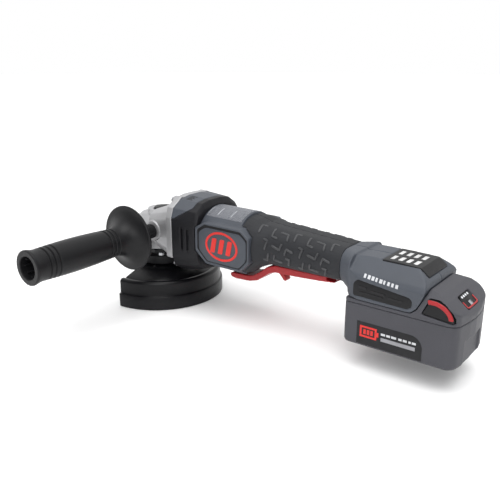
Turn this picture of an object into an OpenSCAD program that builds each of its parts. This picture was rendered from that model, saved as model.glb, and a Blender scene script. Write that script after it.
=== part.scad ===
// Cordless angle grinder with a paddle switch, a side handle and a slide-on battery.
// The origin is on the spindle axis, at the face that the grinding wheel seats on.
// +X runs back along the motor to the battery, the side handle points to -Y, and +Z is up.

/* [Head] */
// Height of the motor axis above the wheel seat
axis_h = 63; // [62.5:0.5:65]
// Radius of the gear case around the spindle
case_r = 31; // [30.5:0.5:33]
// Height of the gear case's top face
case_top = 80.5; // [80:0.5:83]
// Half width of the rear flange and of the collar
flange_half = 38; // [37.5:0.1:39]
// Half height of the rear flange and of the collar
flange_tall = 41; // [40.5:0.1:42]
// Back of the gear case, where the motor housing starts
flange_back = 54; // [53:0.5:56]

/* [Spindle] */
// Radius of the 5/8 inch spindle thread
thread_r = 7.94; // [7.9:0.01:7.98]
// Length of thread below the wheel seat
thread_len = 15; // [12:0.5:16]
// Radius of the inner wheel flange
inner_flange_r = 20; // [18:0.5:22]

/* [Guard] */
// Outside radius of the guard's lower band
guard_r = 69.3; // [67:0.1:73]
// Height of the guard's lower edge
guard_low = -17; // [-20:0.5:-16]
// Height of the guard's shoulder
guard_shoulder = 12; // [11:0.5:13]
// Thickness of the guard's steel
guard_t = 2; // [1.5:0.1:2.5]

/* [Side handle] */
// Distance of the handle's axis behind the spindle
handle_x = 18; // [17:0.5:19]
// Height of the handle's axis
handle_z = 62.4; // [62:0.1:63]
// Where the handle's shank meets the gear case
handle_seat = 31; // [31:0.5:33]
// Where the finger flange is
handle_disc = 64; // [60:0.5:70]
// Where the open end is
handle_end = 187; // [170:1:200]
// Radius of the finger flange
handle_disc_r = 34.5; // [30:0.5:37]

/* [Body] */
// Radius of the motor housing
barrel_r = 33; // [33:0.1:33.5]
// Half width of the foot and the battery
foot_half = 35.5; // [35.5:0.1:38]
// Height of the seam between the foot and the battery
foot_low = 46.5; // [46.5:0.1:47]

/* [Battery] */
// Front face of the battery
battery_x0 = 260; // [259:0.5:260.5]
// Rear face of the battery
battery_x1 = 364.5; // [364:0.5:368]
// Height of the battery's flat base
battery_z0 = 4; // [2:0.5:4]

/* [Gears] */
// Teeth on the spindle's bevel gear
ring_teeth = 40; // [40]
// Teeth on the motor's pinion
pinion_teeth = 10; // [10]
// Module at the large end of the teeth
gear_module = 1.2; // [1.15:0.01:1.2]

/* [Hidden] */
$fn = 48;

silver = [0.78, 0.79, 0.80];
steel = [0.62, 0.63, 0.65];
slate = [0.33, 0.36, 0.40];
battery_grey = [0.36, 0.36, 0.39];
black = [0.13, 0.13, 0.14];
red = [0.74, 0.16, 0.15];
copper = [0.72, 0.42, 0.22];
board_green = [0.12, 0.35, 0.22];

gap = 0.3;       // room left between moving bodies
shaft_gap = 0.05; // running clearance of pins and screws
wall = 3;         // thickness of the moulded walls

// ---- helpers -------------------------------------------------------------

// A profile in (y, z), drawn out along +X from x0
module along_x(x0) translate([x0, 0, 0]) rotate([90, 0, 90]) children();

// A profile in (x, z), drawn out along +Y from y0
module along_y(y0) translate([0, y0, 0]) rotate([90, 0, 0]) mirror([0, 0, 1]) children();

// A round bar along X on the motor axis
module bar_x(r, x0, x1) translate([x0, 0, axis_h]) rotate([0, 90, 0]) cylinder(r = r, h = x1 - x0);

// A round bar along Y through (x, z)
module bar_y(x, z, r, y0, y1) translate([x, y0, z]) rotate([-90, 0, 0]) cylinder(r = r, h = y1 - y0);

// A round bar along Z through (x, y)
module bar_z(x, y, r, z0, z1) translate([x, y, z0]) cylinder(r = r, h = z1 - z0);

// A block between two corners
module block(lo, hi) translate(lo) cube(hi - lo);

// A rectangle of half width w from z0 to z1, with rounded corners
module rounded(w, z0, z1, r) {
  translate([-w + r, z0]) square([2 * (w - r), z1 - z0]);
  translate([-w, z0 + r]) square([2 * w, z1 - z0 - 2 * r]);
  for (s = [-1, 1])
    for (z = [z0 + r, z1 - r])
      translate([s * (w - r), z]) circle(r);
}

// The flange's many-sided outline around the motor axis, w to each side and h up and down
module flange_outline(w, h) {
  quarter = [[1, 0.5], [0.9, 0.76], [0.6, 0.95], [0.25, 1]];
  back = [for (i = [3:-1:0]) quarter[i]];
  polygon([for (p = concat(quarter, [for (q = back) [-q[0], q[1]]],
                           [for (q = quarter) [-q[0], -q[1]]], [for (q = back) [q[0], -q[1]]]))
    [w * p[0], axis_h + h * p[1]]]);
}

// A thin slice of a rounded section, for hulls along X
module station(x, w, z0, z1, r) along_x(x) linear_extrude(0.01) rounded(w, z0, z1, r, $fn = 32);

// The half of its children on one side of the middle plane: side -1 is left, 1 is right
module half(side) {
  intersection() {
    children();
    translate([-50, side < 0 ? -100 : 0, -50]) cube([500, 100, 250]);
  }
}

function arc(cx, cy, rx, ry, a0, a1, n) =
  [for (i = [0:n]) let (a = a0 + (a1 - a0) * i / n) [cx + rx * cos(a), cy + ry * sin(a)]];

// A coil spring along Z: a ring of points at each step of a helix, joined into a closed tube
function coil_point(r, wire, pitch, a, t) =
  let (bead = [r + wire * cos(t), wire * sin(t)])
  [bead[0] * cos(a), bead[0] * sin(a), pitch * a / 360 + bead[1]];

module coil(r, wire, length, turns) {
  steps = 12;
  sides = 6;
  rings = turns * steps;
  pitch = (length - 2 * wire) / turns;
  points = [for (i = [0:rings]) for (j = [0:sides - 1])
    coil_point(r, wire, pitch, 360 * i / steps, 360 * j / sides)];
  walls = [for (i = [0:rings - 1]) for (j = [0:sides - 1])
    let (a = i * sides + j, b = i * sides + (j + 1) % sides) [a, b, b + sides, a + sides]];
  start = [[for (j = [0:sides - 1]) sides - 1 - j]];
  end = [[for (j = [0:sides - 1]) rings * sides + j]];
  translate([0, 0, wire]) polyhedron(points, concat(start, walls, end), convexity = 8);
}

// A shielded ball bearing along Z from z = 0: two races with recessed shields between them
module bearing(r_in, r_out, h) {
  race = (r_out - r_in) * 0.22;
  rotate_extrude()
    polygon([
      [r_in, 0], [r_in + race, 0], [r_in + race, h * 0.1], [r_out - race, h * 0.1], [r_out - race, 0],
      [r_out, 0], [r_out, h], [r_out - race, h], [r_out - race, h * 0.9], [r_in + race, h * 0.9],
      [r_in + race, h], [r_in, h]
    ]);
}

// ---- spindle and gears ---------------------------------------------------

neck_r = 22;          // the collar that the guard clamps on
neck_low = 14;
plate_low = 35.6;     // underside of the bearing plate's flange
plate_top = 40;
cavity_r = 25.5;      // inside of the gear case
lower_bearing = [22, 33];
upper_bearing = [68, 74];
spindle_top = 73.5;
pilot_r = 8.2;         // the seat that the inner flange fits on
ring_r = gear_module * ring_teeth / 2;
pinion_r = gear_module * pinion_teeth / 2;
cone_len = sqrt(ring_r * ring_r + pinion_r * pinion_r);
toe = 0.7;            // size of the teeth at their small end
lock_at = [8.4, -9.5];  // the lock pin, clear of the pinion
lock_r = 2.1;
lock_spring_x = 20;    // the spring's pocket, behind the upper bearing
lock_spring_low = axis_h + 8.6;
pinion_room = pinion_r + 1.4;  // the tunnel in the gear case around the pinion
ring_top = axis_h - pinion_r * toe - 1.1;

// Half thickness of a tooth at a height above the pitch line, straight flanks
function flank(h) = gear_module * (0.6 - 0.42 * h);

// One tooth's outline: [half angle, height above the pitch line], walked across the tooth
function tooth(teeth, r) =
  let (heights = [-1.1, 0, 0.75],
       half = [for (h = heights) flank(h) / (r + (teeth < 20 ? h * gear_module : 0)) * 180 / PI])
  [[-half[0], heights[0]], [-half[1], heights[1]], [-half[2], heights[2]],
   [half[2], heights[2]], [half[1], heights[1]], [half[0], heights[0]]];

// A ring of points around a bevel gear, at a share k of the cone's length.
// Distances are from the cone's apex: z is along the axis, away from the apex.
function bevel_ring(teeth, r, mate_r, k, phase) =
  [for (i = [0:teeth - 1]) for (p = tooth(teeth, r))
    let (h = p[1] * gear_module, a = 360 * (i + phase) / teeth + p[0],
         rad = k * (r + h * mate_r / cone_len), z = k * (mate_r - h * r / cone_len))
    [rad * cos(a), rad * sin(a), z]];

// A toothed body with its apex at the origin and its back towards +Z
module bevel(teeth, r, mate_r, phase, back_r, back_z, nose_z) {
  n = teeth * 6;
  heel = bevel_ring(teeth, r, mate_r, 1, phase);
  rings = concat(
    [for (p = heel) [p[0] * back_r / r, p[1] * back_r / r, back_z]],
    heel,
    bevel_ring(teeth, r, mate_r, toe, phase));
  points = concat(rings, [[0, 0, back_z], [0, 0, nose_z]]);
  faces = concat(
    [for (k = [0, 1]) for (i = [0:n - 1])
      [k * n + i, k * n + (i + 1) % n, (k + 1) * n + (i + 1) % n, (k + 1) * n + i]],
    [for (i = [0:n - 1]) [3 * n, (i + 1) % n, i]],
    [for (i = [0:n - 1]) [3 * n + 1, 2 * n + i, 2 * n + (i + 1) % n]]);
  polyhedron(points, faces, convexity = 10);
}

module bevel_gear() color(steel) {
  difference() {
    translate([0, 0, axis_h]) mirror([0, 0, 1])
      bevel(ring_teeth, ring_r, pinion_r, 0, 0.86 * ring_r, 12, axis_h - ring_top);
    bar_z(0, 0, 7, 40, 70);
    for (i = [0:3])
      rotate([0, 0, 90 * i]) bar_z(lock_at[0], lock_at[1], lock_r + 0.4, ring_top - 5, 70);
  }
  difference() {
    bar_z(0, 0, 12, 48, 52.5);
    bar_z(0, 0, 7, 40, 70);
  }
}

module pinion() color(steel) {
  difference() {
    translate([0, 0, axis_h]) rotate([0, 90, 0])
      bevel(pinion_teeth, pinion_r, ring_r, 0.5, 0.9 * pinion_r, ring_r + 3, ring_r * toe - 0.4);
    bar_x(3, 10, 40);
  }
}

module spindle() color(steel) {
  rotate_extrude()
    polygon([
      [0, -thread_len], [thread_r - 1, -thread_len], [thread_r, -thread_len + 1], [thread_r, 0],
      [pilot_r, 0], [pilot_r, 7], [11, 7], [11, 14.5], [16.8, 14.5], [16.8, 17], [7.5, 17],
      [7.5, 34], [9.5, 34], [9.5, 48], [7, 48],
      [7, 60], [5, 60], [5, spindle_top - 1], [4, spindle_top], [0, spindle_top]
    ]);
}

module inner_flange() color(steel) {
  difference() {
    union() {
      bar_z(0, 0, inner_flange_r, 0, 4);
      translate([0, 0, 4]) cylinder(r1 = inner_flange_r, r2 = 13, h = 3);
    }
    bar_z(0, 0, pilot_r + shaft_gap, -1, 8);
    bar_z(0, 0, 11.1, -1, 1.2);
  }
}

module spindle_bearing_lower() color(silver)
  translate([0, 0, lower_bearing[0]]) bearing(7.5 + shaft_gap, 17.5, lower_bearing[1] - lower_bearing[0]);

module spindle_bearing_upper() color(silver)
  translate([0, 0, upper_bearing[0]]) bearing(5 + shaft_gap, 9.5, upper_bearing[1] - upper_bearing[0]);

// ---- gear case -----------------------------------------------------------

plate_screw = [20, 20.6];  // half spacing of the bearing plate's screws along X and Y
slope_h = 11.5;       // height of the eight flat slopes under the case's top
lug_y = 19.5;         // the flange screws
socket_depth = 9;       // thread depth of the side handle's sockets
button_top = 82.5;
button_x = [6.5, 17];   // centres of the lock button's round ends

// Height of an upper or lower flange screw
function lug_height(sz) = axis_h + (sz > 0 ? 35.4 : -35.2);

module case_outside() {
  bar_z(0, 0, case_r, plate_top, 64);
  translate([0, 0, 64])
    intersection() {
      rotate([0, 0, 22.5])
        cylinder(r1 = (case_r + 1) / cos(22.5), r2 = (case_r - 12) / cos(22.5), h = slope_h, $fn = 8);
      cylinder(r = case_r, h = slope_h);
    }
  along_x(0) linear_extrude(flange_back - 8)
    polygon([[-19, 60], [19, 60], [19, case_top - 4], [15, case_top], [-15, case_top], [-19, case_top - 4]]);
  bar_z(2, 0, 15, 64, case_top);
  hull() {
    along_x(8) linear_extrude(1) flange_outline(26, 20);
    along_x(flange_back - 9) linear_extrude(1) flange_outline(33, 33);
  }
  along_x(flange_back - 8) linear_extrude(8) flange_outline(flange_half, flange_tall);
  for (sy = [-1, 1])
    for (sz = [-1, 1])
      translate([flange_back - 10, sy * lug_y, lug_height(sz)]) rotate([0, 90, 0])
        cylinder(r = sz > 0 ? 5 : 4.2, h = 10);
  bar_y(handle_x, handle_z, 11, -handle_seat, handle_seat);
}

module gear_case() color(silver) {
  difference() {
    case_outside();
    translate([0, 0, -10]) cylinder(r = 90, h = 10 + plate_top);
    bar_z(0, 0, cavity_r, 0, 62);
    translate([0, 0, 62]) cylinder(r1 = cavity_r, r2 = cavity_r - 5, h = 5);
    bar_z(0, 0, 9.5, 60, upper_bearing[1]);
    bar_z(lock_at[0], lock_at[1], lock_r + shaft_gap, 60, 90);
    translate([0, 0, button_top - 7.7]) button_shape(0.4, 20);
    bar_z(lock_spring_x, 0, 5, lock_spring_low, button_top);
    bar_x(pinion_room, 0, 40);
    bar_x(11, 37, 60);
    bar_x(29, flange_back - 6, 60);
    for (s = [-1, 1])
      bar_y(handle_x, handle_z, 5, s > 0 ? handle_seat - socket_depth : -handle_seat - 1,
            s > 0 ? handle_seat + 1 : -handle_seat + socket_depth);
    flange_screw_holes();
    for (sx = [-1, 1])
      for (sy = [-1, 1])
        bar_z(sx * plate_screw[0], sy * plate_screw[1], 1.75 + shaft_gap, plate_top - 1, plate_top + 9);
  }
}

module flange_screw_holes()
  for (sy = [-1, 1])
    for (sz = [-1, 1])
      translate([flange_back - 20, sy * lug_y, lug_height(sz)]) rotate([0, 90, 0])
        cylinder(r = 2 + shaft_gap, h = 30);

// The lock button's outline, as a block from z = 0 up; grow widens it
module button_shape(grow, h) {
  linear_extrude(h)
    for (x = button_x)
      translate([x, 0]) circle(r = 11.5 + grow);
  translate([button_x[0], -11.5 - grow, 0]) cube([button_x[1] - button_x[0], 23 + 2 * grow, h]);
}

module gear_case_screws() color(steel)
  for (sy = [-1, 1])
    for (sz = [-1, 1])
      translate([flange_back - 13, sy * lug_y, lug_height(sz)]) rotate([0, 90, 0]) {
        difference() {
          cylinder(r = 3.4, h = 3);
          translate([0, 0, -0.1]) cylinder(r = 1.6, h = 1.8, $fn = 6);
        }
        cylinder(r = 2, h = 22);
      }

module bearing_plate() color(black)
  difference() {
    union() {
      bar_z(0, 0, neck_r, neck_low, plate_top);
      bar_z(0, 0, cavity_r - shaft_gap, plate_low, plate_top + 2.5);
      intersection() {
        bar_z(0, 0, case_r + 1, plate_low, plate_top);
        block([-26, -27, plate_low], [26, 27, plate_top]);
      }
    }
    bar_z(0, 0, 17.5, 0, lower_bearing[1]);
    bar_z(0, 0, 13, 0, 50);
    for (sx = [-1, 1])
      for (sy = [-1, 1])
        bar_z(sx * plate_screw[0], sy * plate_screw[1], 1.75 + shaft_gap, 30, 50);
  }

module bearing_plate_screws() color(steel)
  for (sx = [-1, 1])
    for (sy = [-1, 1])
      translate([sx * plate_screw[0], sy * plate_screw[1], plate_low - 3]) {
        difference() {
          cylinder(r = 3, h = 3);
          translate([0, 0, -0.1]) cylinder(r = 1.4, h = 1.6, $fn = 6);
        }
        cylinder(r = 1.75, h = 14);
      }

module lock_button() color(black)
  difference() {
    union() {
      translate([0, 0, button_top - 4.2]) button_shape(0, 2.7);
      translate([0, 0, button_top - 1.5]) button_shape(-0.8, 1.5);
    }
    bar_z(lock_at[0], lock_at[1], lock_r, 60, button_top - 2);
  }

module lock_pin() color(steel)
  bar_z(lock_at[0], lock_at[1], lock_r, ring_top + 2.1, button_top - 2);

module lock_spring() color(steel)
  translate([lock_spring_x, 0, lock_spring_low + 0.1]) coil(4, 0.3, button_top - 4.4 - lock_spring_low, 4);

// ---- guard ---------------------------------------------------------------

band_high = 31;        // top of the guard's neck

module guard_profile()
  polygon(concat(
    [[guard_r - guard_t - 1.5, guard_low + 1], [guard_r - guard_t - 1.5, guard_low],
     [guard_r, guard_low], [guard_r, guard_low + 14], [guard_r - 2.2, guard_low + 15.5]],
    arc(guard_r - 5.4, guard_shoulder - 2, 3.2, 3.6, 0, 90, 5),
    [[61, guard_shoulder + 1.4], [59, guard_shoulder + 0.4], [57, guard_shoulder + 1.6],
     [38, guard_shoulder + 7.2], [33, guard_shoulder + 7.2], [33, guard_shoulder + 5.5],
     [37.4, guard_shoulder + 5.5], [57, guard_shoulder - 0.6], [guard_r - 5.4, guard_shoulder - 0.6],
     [guard_r - 2.2 - guard_t, guard_shoulder - 2.6], [guard_r - 2.2 - guard_t, guard_low + 1]]));

module guard_shell() color(black) {
  rotate([0, 0, -88]) rotate_extrude(angle = 180) guard_profile();
  rotate_extrude()
    polygon([
      [neck_r + 0.2, guard_shoulder + 5.3], [36, guard_shoulder + 5.3], [36, guard_shoulder + 7.5],
      [neck_r + 2.4, guard_shoulder + 7.5], [neck_r + 2.4, band_high], [neck_r + 0.2, band_high]
    ]);
}

clamp_r = neck_r + 2.5;
clamp_z = 25.5;        // height of the clamp's screw
clamp_x = -clamp_r - 7;

module guard_clamp_band() color(black)
  difference() {
    union() {
      bar_z(0, 0, clamp_r + 2, 21, 30);
      block([-clamp_r - 12, -6, 21], [-clamp_r + 2, 6, 30]);
    }
    bar_z(0, 0, clamp_r, 0, 50);
    block([-clamp_r - 13, -2, 0], [-clamp_r + 4, 2, 50]);
    bar_y(clamp_x, clamp_z, 2 + shaft_gap, -10, 10);
  }

module guard_clamp_screw() color(steel) {
  bar_y(clamp_x, clamp_z, 2, -6, 10);
  difference() {
    bar_y(clamp_x, clamp_z, 3.6, -9.5, -6);
    bar_y(clamp_x, clamp_z, 1.7, -10, -7.5, $fn = 6);
  }
  difference() {
    bar_y(clamp_x, clamp_z, 3.8, 6, 9, $fn = 6);
    bar_y(clamp_x, clamp_z, 2, 5, 10);
  }
}

// ---- side handle ---------------------------------------------------------

grip_r = 14.8;
end_r = 17;
disc_t = 3;

// Turned about Z, with z = 0 at the seat on the gear case
module handle_profile() {
  disc = handle_disc - handle_seat;
  end = handle_end - handle_seat;
  fillet = 19;
  groove = 1.1;
  first = [for (i = [0:2]) disc + disc_t + fillet + 3 + 5 * i];
  last = [for (i = [0:2]) end - 26 + 5 * i];
  notches = [for (z = concat(first, last))
    for (p = [[0, -groove], [-groove, -0.4], [-groove, 0.4], [0, groove]])
    let (swell = 1.6 * sin(180 * (z - first[0]) / (end - first[0])))
    [grip_r + swell + p[0], z + p[1]]];
  difference() {
    polygon(concat(
      [[0, 0], [7.5, 0], [7.5, disc - 7], [9.5, disc - 3], [handle_disc_r - 6, disc - 1],
       [handle_disc_r - 1, disc], [handle_disc_r, disc + 1.2],
       [handle_disc_r, disc + disc_t - 1], [handle_disc_r - 1, disc + disc_t]],
      arc(grip_r + fillet, disc + disc_t + fillet, fillet, fillet, 270, 180, 8),
      notches,
      [[grip_r + 0.6, end - 11], [end_r - 0.4, end - 3], [end_r, end - 2], [end_r - 0.8, end], [0, end]]));
    translate([0, -1]) square([5, 46]);
    translate([0, end - 30]) square([11, 40]);
  }
}

module side_handle_grip() color(black)
  translate([handle_x, -handle_seat - gap / 3, handle_z]) rotate([90, 0, 0])
    rotate_extrude() handle_profile();

module side_handle_stud() color(steel)
  bar_y(handle_x, handle_z, 5 - shaft_gap, -handle_seat - 44, -handle_seat + socket_depth - 0.5);

// ---- motor ---------------------------------------------------------------

shaft_r = 4;
stator_r = barrel_r - wall;
stator_x = [68, 98];
rotor_r = 14;
front_bearing = [38, 45];
rear_bearing = [107, 113];

module rotor_shaft() color(steel) {
  bar_x(3, ring_r - 6, front_bearing[0]);
  bar_x(shaft_r, ring_r + 3.2, rear_bearing[0]);
  bar_x(3.5, rear_bearing[0], rear_bearing[1] + 2);
}

module motor_bearing_front() color(silver)
  translate([front_bearing[0], 0, axis_h]) rotate([0, 90, 0]) bearing(shaft_r + shaft_gap, 11, 7);

module motor_bearing_rear() color(silver)
  translate([rear_bearing[0], 0, axis_h]) rotate([0, 90, 0]) bearing(3.5 + shaft_gap, 9.5, 6);

module rotor_core() color(steel)
  difference() {
    bar_x(rotor_r, stator_x[0], stator_x[1]);
    bar_x(shaft_r, 0, 120);
    for (i = [0:3])
      translate([0, 0, axis_h]) rotate([45 + 90 * i, 0, 0])
        translate([stator_x[0] - 1, -5, 9.5]) cube([40, 10, 2]);
  }

module fan() color(black) {
  difference() {
    union() {
      bar_x(26, 60.5, 62);
      bar_x(8, 55, 62);
      for (i = [0:13])
        translate([0, 0, axis_h]) rotate([360 * i / 14, 0, 0])
          translate([55, -0.7, 12]) cube([6, 1.4, 13.5]);
    }
    bar_x(shaft_r, 0, 90);
  }
}

slots = 6;

module stator() color(steel)
  difference() {
    bar_x(stator_r, stator_x[0], stator_x[1]);
    bar_x(rotor_r + 0.6, 0, 120);
    for (i = [0:slots - 1])
      translate([0, 0, axis_h]) rotate([360 * i / slots, 0, 0]) {
        translate([0, -6.5, 17]) cube([120, 13, 8]);
        translate([0, -1.3, 10]) cube([120, 2.6, 8]);
      }
  }

// Windings that fill the slots, with a ring of end turns at each end
module stator_coils() color(copper) {
  for (x = [stator_x[0] - 4, stator_x[1]])
    difference() {
      bar_x(24.5, x, x + 4);
      bar_x(17.5, x - 1, x + 5);
    }
  for (i = [0:slots - 1])
    translate([0, 0, axis_h]) rotate([360 * i / slots, 0, 0])
      translate([stator_x[0] - 2, -6.2, 17.2]) cube([stator_x[1] - stator_x[0] + 4, 12.4, 7.2]);
}

// ---- collar --------------------------------------------------------------

collar_front = flange_back + gap / 3;
collar_mid = 78;
collar_crown = 83;      // where the high crown starts to drop to the barrel
collar_back = 87;
collar_r = barrel_r + gap / 3;

module collar_slice(x, w, h) along_x(x) linear_extrude(0.5) flange_outline(w, h);

module crown_slice(x, w, h)
  along_x(x) linear_extrude(0.5)
    intersection() {
      flange_outline(w, h);
      translate([-50, axis_h + 14]) square(100);
    }

module collar_shape() {
  hull() {
    collar_slice(collar_front, flange_half, flange_tall);
    collar_slice(collar_mid, flange_half - 2, flange_tall - 4.2);
  }
  hull() {
    collar_slice(collar_mid, flange_half - 2, flange_tall - 4.2);
    collar_slice(collar_back - 0.5, barrel_r + 2, barrel_r + 0.6);
  }
  hull() {
    crown_slice(collar_front, flange_half, flange_tall);
    crown_slice(collar_crown, flange_half - 2.5, flange_tall - 1.6);
    crown_slice(collar_back - 0.5, barrel_r + 2, barrel_r + 0.6);
  }
}

// The upper front of the collar, which is the slate arch
module arch_zone(grow)
  along_y(-60) linear_extrude(120) offset(delta = grow)
    polygon([[40, 84], [57.5, 84], [76.5, 95.5], [77.5, 120], [40, 120]]);

module collar_arch() color(slate)
  difference() {
    intersection() {
      collar_shape();
      arch_zone(0);
    }
    bar_x(collar_r, 0, 150);
    flange_screw_holes();
  }

module motor_collar() color(black)
  difference() {
    collar_shape();
    arch_zone(gap / 3);
    bar_x(collar_r, 0, 150);
    flange_screw_holes();
    for (s = [-1, 1]) {
      along_y(s > 0 ? 20 : -60) linear_extrude(40) badge_outline(badge_rim + gap / 3);
      for (i = [0:1])
        translate([66 + 7.2 * i, s > 0 ? flange_half - 4.6 : -flange_half - 0.4, axis_h - 12])
          cube([2.8, 5, 24]);
    }
  }

// ---- housing -------------------------------------------------------------

barrel_back = 136;
skin = 2;              // thickness of the rubber over the grip
pocket_half = 14;      // the space under the grip that the paddle moves up into
pocket_top = 58;
seam = [[316, foot_low], [321, foot_low + 0.6], [325.5, 51], [329.5, 58.5], [331.5, 64], [332.2, 68]];
screw_xz = [[124, 88], [122, 42], [256, 77], [253, 60], [321, 63]];

// The barrel's end, the grip and the neck; grow moves every surface in or out
module grip_shape(grow) {
  hull() {
    station(barrel_back - 2, barrel_r - 0.2 + grow, 31.4 - grow, 94.4 + grow, 31 + grow);
    station(147, 32.4 + grow, 37.5 - grow, 92.3 + grow, 26 + grow);
  }
  hull() {
    station(147, 32.4 + grow, 37.5 - grow, 92.3 + grow, 26 + grow);
    station(156, 30.5 + grow, 45.5 - grow, 89.3 + grow, 20 + grow);
  }
  hull() {
    station(156, 30.5 + grow, 45.5 - grow, 89.3 + grow, 20 + grow);
    station(167, 25.8 + grow, 49.5 - grow, 88.4 + grow, 17 + grow);
  }
  hull() {
    station(167, 25.8 + grow, 49.5 - grow, 88.4 + grow, 17 + grow);
    station(250, 24.5 + grow, 51 - grow, 83 + grow, 14 + grow);
  }
}

foot_section = [
  [-foot_half, 40], [foot_half, 40], [foot_half, 66], [33, 70], [23, 78.5], [19, 82], [-19, 82],
  [-23, 78.5], [-33, 70], [-foot_half, 66]
];

module foot_shape() {
  hull() {
    station(248, 24.5, 51, 83, 14);
    station(262, 33, 47, 83, 12);
  }
  intersection() {
    along_y(-50) linear_extrude(100)
      polygon(concat([[258, 60], [259, 49], [262, foot_low]], seam,
        [[331, 71.5], [328, 75.2], [320.8, 81], [300, 81.8], [276, 82], [264, 81.5], [258, 80]]));
    along_x(250) linear_extrude(100) polygon(foot_section);
    linear_extrude(100)
      polygon([[258, -28], [264, -33], [272, -foot_half], [345, -foot_half],
        [345, foot_half], [272, foot_half], [264, 33], [258, 28]]);
  }
}

// The raised rims that the badges sit in
module badge_rims()
  for (s = [-1, 1])
    along_y(s > 0 ? 20 : -34.2) linear_extrude(14.2) badge_outline(badge_rim);

module housing_outside() {
  bar_x(barrel_r, flange_back, barrel_back);
  badge_rims();
  grip_shape(-skin);
  foot_shape();
}

module housing_inside() {
  bar_x(barrel_r - wall, 0, 104);
  bar_x(barrel_r - wall, 115, barrel_back - 3);
  bar_x(9.5 + shaft_gap, 100, 120);
  hull() {
    station(barrel_back - 3.1, 26, 42, 89, 20);
    station(158, 20, pocket_top + 2, 84, 10);
  }
  hull() {
    station(156, 20, pocket_top + 2, 84, 10);
    station(250, 19.5, pocket_top + 2, 78.5, 9);
  }
  block([248, -19, 62], [268, 19, 78]);
  block([264, -foot_half + wall, 60], [326, foot_half - wall, 65]);
  block([264, -19, 60], [317, 19, 77.5]);
  for (s = [-1, 1])
    block([267, s > 0 ? 27 : -foot_half + wall, 50], [318, s > 0 ? foot_half - wall : -27, 62]);
}

// Everything that the paddle, the badges, the nameplates and the battery need
module housing_openings() {
  block([108, -pocket_half, 20], [barrel_back + 24, pocket_half, 38]);
  block([barrel_back, -pocket_half, 20], [248, pocket_half, pocket_top]);
  for (s = [-1, 1]) {
    along_y(s > 0 ? badge_seat : -60) linear_extrude(60 - badge_seat) badge_outline(gap / 3);
    along_y(s > 0 ? foot_half - 1.6 : -foot_half - 4) linear_extrude(5.6) nameplate_outline(gap / 3);
  }
  bar_z(plunger_x, 0, 2 + gap, 50, 64);
  block([262, -20.4, 40], [360, 20.4, 57.2]);
  block([262, -24, 40], [360, 24, 49]);
  block([262, -24, 53.2], [360, 24, 57.2]);
  block([268, -20, 56], [300, 20, 61]);
  block([289, -15, 70], [316, 15, 90]);
  block([287, -16, 78.2], [318, 16, 90]);
  grille_cut();
}

// Inner walls that stand in the hollows
module housing_ribs() {
  difference() {
    block([106, -pocket_half - 2, 33], [barrel_back + 1, pocket_half + 2, 40]);
    block([0, -pocket_half, 0], [300, pocket_half, 38]);
    difference() {
      bar_x(60, 0, 150);
      bar_x(barrel_r - 0.5, 0, 150);
    }
  }
  for (p = screw_xz)
    intersection() {
      bar_y(p[0], p[1], 4, -60, 60);
      union() {
        bar_x(barrel_r - 1, flange_back, barrel_back);
        block([248, -22, 55], [262, 22, 80]);
        block([300, -foot_half + 1, 58], [328, foot_half - 1, 67]);
      }
    }
}

module housing(side) color(slate)
  half(side)
    difference() {
      union() {
        difference() {
          housing_outside();
          housing_inside();
        }
        housing_ribs();
      }
      housing_openings();
      for (p = screw_xz) {
        bar_y(p[0], p[1], 1.5 + shaft_gap, -12, 12);
        bar_y(p[0], p[1], 3.2, 8, 60);
      }
    }

module housing_left() housing(-1);
module housing_right() housing(1);

module housing_screws() color(steel)
  for (p = screw_xz) {
    bar_y(p[0], p[1], 1.5, -11, 8);
    difference() {
      bar_y(p[0], p[1], 3, 8, 10.5);
      bar_y(p[0], p[1], 1.3, 9, 11, $fn = 6);
    }
  }

module grip_rubber(side) color(black)
  half(side)
    difference() {
      grip_shape(0);
      grip_shape(-skin);
      bar_x(60, barrel_back - 10, barrel_back + 1);
      block([248, -60, 0], [260, 60, 120]);
      block([100, -pocket_half, 0], [260, pocket_half, pocket_top - 4]);
      along_y(-60) linear_extrude(120) badge_outline(badge_rim + gap / 3);
    }

module grip_rubber_left() grip_rubber(-1);
module grip_rubber_right() grip_rubber(1);

// ---- badges and nameplates ----------------------------------------------

badge_rim = 2.3;       // width of the rim around each badge
badge_seat = 31.6;     // the floor of the badge's recess

// The badge's eight-sided outline in (x, z), with grow added all round
module badge_outline(grow) {
  g = grow;
  polygon([
    [86 - g, 56 - g], [98, 44.5 - g], [141, 44.5 - g], [150.5 + g, 55 - g],
    [150.5 + g, 76 + g], [142, 83 + g], [96, 83 + g], [86 - g, 76.5 + g]
  ]);
}

module badge(side) color(slate)
  along_y(side > 0 ? badge_seat : -badge_seat - 2) linear_extrude(2) badge_outline(0);

module badge_left() badge(-1);
module badge_right() badge(1);

module nameplate_outline(grow) {
  g = grow;
  polygon([
    [268 - g, 50 - g], [318, 49 - g], [322 + g, 52], [322 + g, 57],
    [319, 59.5 + g], [272, 65 + g], [268 - g, 61]
  ]);
}

module nameplate(side) color(black)
  along_y(side > 0 ? foot_half - 1.5 : -foot_half + 0.2) linear_extrude(1.3) nameplate_outline(0);

module nameplate_left() nameplate(-1);
module nameplate_right() nameplate(1);

// ---- paddle --------------------------------------------------------------

pivot = [240, 53];
lockoff = [166.5, 45.5];
paddle_half = 13;
plunger_x = 196;
spring_x = 214;

module paddle_profile()
  polygon(concat(
    [[113, 28.5], [114.5, 26], [120, 25], [138, 26], [148, 29], [157, 35.6], [163, 40], [170, 42],
     [199, 43.4], [221, 45], [236, 46.5]],
    arc(pivot[0], pivot[1], 4.5, 4.5, -60, 120, 6),
    [[226, 51], [170, 49.5], [160, 46], [150, 38], [142, 33], [134, 31.4], [116, 31], [113.5, 30]]));

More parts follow.
